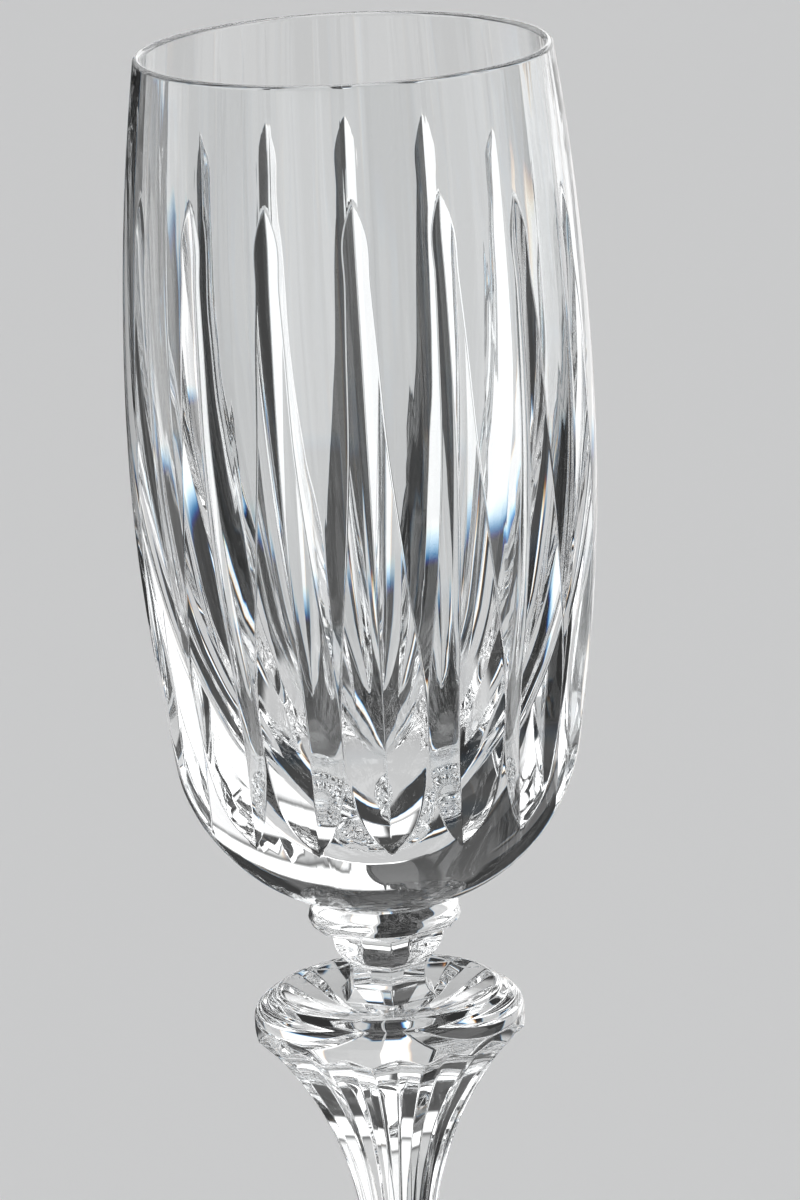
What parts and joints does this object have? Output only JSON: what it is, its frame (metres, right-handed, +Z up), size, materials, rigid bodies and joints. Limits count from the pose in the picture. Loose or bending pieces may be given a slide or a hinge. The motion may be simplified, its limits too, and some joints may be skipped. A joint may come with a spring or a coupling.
{
  "type": "champagne flute",
  "caption": "Tall cut crystal champagne flute with mitre-cut bowl, six-sided collar and neck, dished knop, fluted trumpet stem and round foot.",
  "frame": {"origin": "centre of the foot's flat underside, on the surface the glass stands on", "axes": "+Z up along the glass's axis, from the foot to the rim; -Y towards the front, where one of the bowl's cuts is centred"},
  "size_m": [0.066, 0.066, 0.21],
  "materials": {
    "crystal": "clear colourless crystal, fire-polished at the rim and acid-polished in the cuts"
  },
  "bodies": {
    "root": {"bowl": "crystal", "collar": "crystal", "neck": "crystal", "knop": "crystal", "stem": "crystal", "foot": "crystal"}
  },
  "joints": []
}
